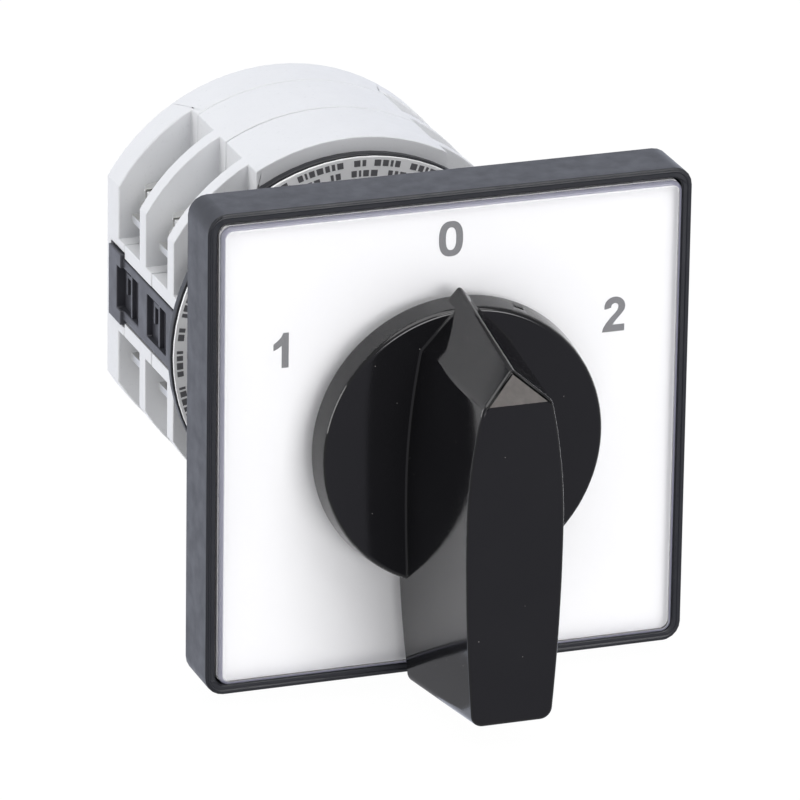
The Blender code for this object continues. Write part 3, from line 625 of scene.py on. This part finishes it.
def facet_frame():
    """The facet's top corner, its right lower corner and its outward normal."""
    low_z = BAR_SECTION_FRONT.shoulder_z
    half = BAR_SECTION_FRONT.shoulder
    z = BAR_SECTION_FRONT.tip_z
    for _ in range(20):  # closes in on where the facet's plane meets the sloping tip line
        y = BAR_FRONT + FACET_DROP * (z - low_z)
        t = (y - BAR_BACK) / (BAR_FRONT - BAR_BACK)
        z = BAR_SECTION_BACK.tip_z + (BAR_SECTION_FRONT.tip_z - BAR_SECTION_BACK.tip_z) * t
    top = Vector((0, BAR_FRONT + FACET_DROP * (z - low_z), z))
    normal = Vector((0, -1, FACET_DROP)).normalized()
    return top, Vector((half, BAR_FRONT, low_z)), normal


def skirt():
    """The round disc behind the handle, with a rounded front edge and a hollow back."""
    slope = (SKIRT_R_BACK - SKIRT_R_FRONT) / (SKIRT_BACK - SKIRT_FRONT)
    edge = 0.55
    profile = [(0, SKIRT_FRONT), (SKIRT_R_FRONT - edge, SKIRT_FRONT)]
    for i in range(1, 6):
        a = math.pi / 2 * i / 6
        profile.append((SKIRT_R_FRONT - edge + edge * math.sin(a), SKIRT_FRONT + edge - edge * math.cos(a)))
    profile += [
        (SKIRT_R_FRONT + slope * edge, SKIRT_FRONT + edge), (SKIRT_R_BACK - 0.04, SKIRT_BACK - 0.30),
        (SKIRT_R_BACK - 0.12, SKIRT_BACK - 0.08), (SKIRT_R_BACK - 0.30, SKIRT_BACK), (17.5, SKIRT_BACK),
        (17.2, -10.4), (17.0, -12.0), (HUB_R + 0.4, -12.0), (HUB_R, -11.6), (HUB_R, HUB_BACK - 0.3),
        (HUB_R - 0.3, HUB_BACK), (SHAFT_CLEARANCE_R + 0.2, HUB_BACK), (SHAFT_CLEARANCE_R, HUB_BACK - 0.3),
        (SHAFT_CLEARANCE_R, HUB_BACK - 4), (0, HUB_BACK - 4),
    ]
    disc = turned("knob_skirt", profile, steps=160)
    notch = bmesh.new()
    angle = math.radians(NOTCH_ANGLE)
    out = Vector((math.cos(angle), 0, math.sin(angle)))
    round_rim = Vector((-out.z, 0, out.x))
    block(notch, out * 19.15 + Vector((0, -12.2, 0)), out * 0.4, round_rim * 0.75, Vector((0, 0.3, 0)))
    combine(disc, "DIFFERENCE", object_of("knob_notch", notch))
    finish_black(disc)
    piece(disc, "rotor", "knob_plastic", "knob")


def finish_black(obj):
    """The knob's glossy black, with the shading set again after the cuts."""
    obj.data.materials.clear()
    obj.data.materials.append(KNOB)
    obj.data.shade_smooth()
    obj.data.set_sharp_from_angle(angle=math.radians(40))
    flat_faces(obj)


def handle():
    """The bar handle: a rounded loft with the pointer's facet, grooved along the facet's upper edges."""
    top, corner, normal = facet_frame()
    bm = bmesh.new()
    rings = [[bm.verts.new(p) for p in bar_ring(y)] for y in (BAR_BACK, BAR_FRONT)]
    count = len(rings[0])
    bm.faces.new(rings[0])
    bm.faces.new(list(reversed(rings[1])))
    for i in range(count):
        j = (i + 1) % count
        bm.faces.new((rings[0][i], rings[1][i], rings[1][j], rings[0][j]))
    everything = bm.verts[:] + bm.edges[:] + bm.faces[:]
    facet_foot = (0, BAR_FRONT, corner.z)
    bmesh.ops.bisect_plane(bm, geom=everything, plane_co=facet_foot, plane_no=normal, clear_outer=True)
    bmesh.ops.holes_fill(bm, edges=bm.edges, sides=0)
    bmesh.ops.remove_doubles(bm, verts=bm.verts, dist=1e-3)
    # Every sharp edge is rounded except the crisp one between the facet and the front face.
    near = 0.01
    weight = bm.edges.layers.float.new("bevel_weight_edge")
    for edge in bm.edges:
        ends = [v.co for v in edge.verts]
        crisp = all(abs(p.z - corner.z) < near and abs(p.y - BAR_FRONT) < near for p in ends)
        beside_facet = all(p.z > corner.z - near and abs((p - corner).dot(normal)) < near for p in ends)
        sharp = edge.calc_face_angle(0) > math.radians(24) and not crisp
        edge[weight] = (FACET_EDGE if beside_facet else 1.0) if sharp else 0.0
    bar = object_of("knob_bar", bm)
    rounded_edges(bar, BAR_EDGE, 5).modifiers["rounded"].limit_method = "WEIGHT"
    applied(bar)
    for side in (-1, 1):
        low = Vector((side * corner.x, corner.y, corner.z))
        along = (low - top).normalized()
        inward = along.cross(normal).normalized() * side
        middle = (top + low) / 2 + inward * FACET_GROOVE
        half_length = (low - top).length / 2 - 0.1
        groove = bmesh.new()
        block(groove, middle, along * half_length, inward * GROOVE_HALF_WIDTH, normal * GROOVE_HALF_DEPTH)
        combine(bar, "DIFFERENCE", object_of("knob_groove", groove))
    finish_black(bar)
    piece(bar, "rotor", "knob_plastic")
    fillet = loft("knob_fillet", [bar_ring(y, -out) for y, out in FILLET_FLARE])
    limit = turned("fillet_limit", [(0, -15), (FILLET_R, -15), (FILLET_R, -13), (0, -13)], steps=120)
    combine(fillet, "INTERSECT", limit)
    finish_black(fillet)
    piece(fillet, "rotor", "knob_plastic")


def facet_plate():
    """The pointer's triangular facet, a separate satin insert in the handle."""
    top, corner, normal = facet_frame()
    bm = bmesh.new()
    base = Vector((0, BAR_FRONT, corner.z))
    scale = 1 - (FACET_GROOVE + FACET_SEAM) * math.hypot(1 / corner.x, 1 / (top - base).length)
    points = [base + (p - base) * scale for p in (top, corner, Vector((-corner.x, corner.y, corner.z)))]
    front = [bm.verts.new(p + normal * 0.015) for p in points]
    back = [bm.verts.new(p - normal * 0.5) for p in points]
    bm.faces.new(front)
    bm.faces.new(list(reversed(back)))
    for i in range(3):
        j = (i + 1) % 3
        bm.faces.new((front[i], back[i], back[j], front[j]))
    plate = object_of("handle_facet", bm, INSERT)
    flat_faces(rounded_edges(plate, 0.012, 1))
    piece(plate, "rotor", "knob_plastic", "handle_cap")


# ---------------------------------------------------------------- carried-over CAD nodes

# Widths of the rounded edges of the pieces that show most. The others have FINE_EDGE, apart from those whose
# names start with one of AS_THEY_ARE: the springs, the knob with its screw, and the cap.
EDGE_WIDTHS = {
    "front_frame": 0.20, "legend_plate": 0.12, "wafer_1": 0.15, "wafer_2": 0.15, "rear_plate": 0.25,
    "latch_housing": 0.25, "mounting_base": 0.35, "clip_left": 0.22, "clip_right": 0.22, "rating_label": 0.05,
}
FINE_EDGE = 0.10
AS_THEY_ARE = ("bridge_spring", "latch_spring", "knob", "handle_cap")


def merge_flat(node):
    """Joins the triangles of each flat face, so that a rounded edge ends cleanly at its corners."""
    merge = node.modifiers.new("flat", "DECIMATE")
    merge.decimate_type = "DISSOLVE"
    merge.angle_limit = math.radians(0.5)


def look_of(name, slot):
    if name.startswith("terminal_"):
        return TIN
    return STRAP if name.startswith("clip_") else SLOT_LOOKS[slot]


def carried_nodes():
    """Gives the CAD's own pieces their materials and their fine rounded edges."""
    for entry in frame["record"]["subparts"]:
        name, slot = entry["node"], entry["material_slot"]
        node = NODES[name]
        node.data.materials.clear()
        node.data.materials.append(look_of(name, slot))
        width = EDGE_WIDTHS.get(name)
        if width:
            if slot in ("housing_grey", "black_plastic"):
                merge_flat(node)
            flat_faces(rounded_edges(node, width, 4 if width > 0.3 else 3, weld=True))
        elif not name.startswith(AS_THEY_ARE):
            flat_faces(rounded_edges(node, FINE_EDGE, 2, weld=True))


# ---------------------------------------------------------------- camera, light and stage

def camera():
    data = bpy.data.cameras.new("camera")
    data.lens = 380.0
    data.sensor_width = 36.0
    data.clip_end = 20.0
    eye = bpy.data.objects.new("camera", data)
    eye.location = (-0.347338, -0.952434, 0.383804)
    eye.rotation_euler = [math.radians(a) for a in (69.3258, -0.78598, -19.5434)]
    SCENE.collection.objects.link(eye)
    SCENE.camera = eye


def softbox(name, place, size, power):
    """A rectangular light that points at the middle of the front plate."""
    data = bpy.data.lights.new(name, "AREA")
    data.shape = "RECTANGLE"
    data.size, data.size_y = size
    data.energy = power
    lamp = bpy.data.objects.new(name, data)
    lamp.location = place
    lamp.rotation_euler = (-Vector(place)).to_track_quat("-Z", "Y").to_euler()
    SCENE.collection.objects.link(lamp)


def sheet(name, corners, look, strength):
    """A flat glowing sheet of the studio."""
    bm = bmesh.new()
    bm.faces.new([bm.verts.new(c) for c in corners])
    mesh = bpy.data.meshes.new(name)
    bm.to_mesh(mesh)
    bm.free()
    look.set("Emission Strength", strength)
    mesh.materials.append(look.mat)
    made = bpy.data.objects.new(name, mesh)
    SCENE.collection.objects.link(made)
    return made


def upright(x, y, z):
    """Corners of a sheet that faces along Y."""
    return [(x[0], y, z[0]), (x[1], y, z[0]), (x[1], y, z[1]), (x[0], y, z[1])]


def level(x, y, z):
    """Corners of a level sheet."""
    return [(x[0], y[0], z), (x[1], y[0], z), (x[1], y[1], z), (x[0], y[1], z)]


def card(name, corners, colour):
    """A studio card that only reflections and light see."""
    look = Look(name, (0, 0, 0), 1.0, specular=0.0)
    look.set("Emission Color", (*colour, 1))
    obj = sheet(name, corners, look, 1.0)
    obj.visible_camera = False


def floor():
    """An even white floor, which glossy faces don't mirror."""
    look = Look("floor_white", (0.03, 0.03, 0.03), 0.9, specular=0.0)
    look.set("Emission Color", (1, 1, 1, 1))
    ground = sheet("floor", level((-3.0, 3.0), (-3.0, 3.0), FLOOR_Z), look, 0.985)
    ground.visible_glossy = False


def studio():
    world = bpy.data.worlds.new("studio")
    world.use_nodes = True
    background = world.node_tree.nodes["Background"]
    background.inputs["Color"].default_value = (0.985, 0.99, 1.0, 1)
    background.inputs["Strength"].default_value = 0.42
    SCENE.world = world
    card("front_card", upright((-1.6, 1.6), -0.75, (-0.9, 0.45)), (0.38, 0.375, 0.43))
    card("back_card", upright((-1.6, 1.6), 1.1, (-1.3, 1.0)), (0.90, 0.94, 1.08))
    card("back_shade", upright((-1.6, -0.62), 1.08, (0.45, 1.0)), (0.72, 0.72, 0.75))
    card("toe_shade", level((-0.03, 0.03), (0.005, 0.06), -0.048), (0.35, 0.35, 0.37))
    softbox("key", (-0.10, -0.10, 1.00), (0.9, 0.7), 4.8)
    softbox("side_box", (-1.10, 0.30, 0.20), (0.5, 0.6), 4.5)
    softbox("facet_box", (0.30, -0.62, 0.72), (0.45, 0.30), 2.4)
    softbox("front_box", (0.08, -0.74, 0.09), (0.7, 0.30), 4.0)
    floor()
    SCENE.view_settings.view_transform = "Standard"


camera()
studio()
carried_nodes()
frame_rim()
window()
digits()
label_marks()
strap_relief()
skirt()
handle()
facet_plate()

bpy.context.view_layer.update()
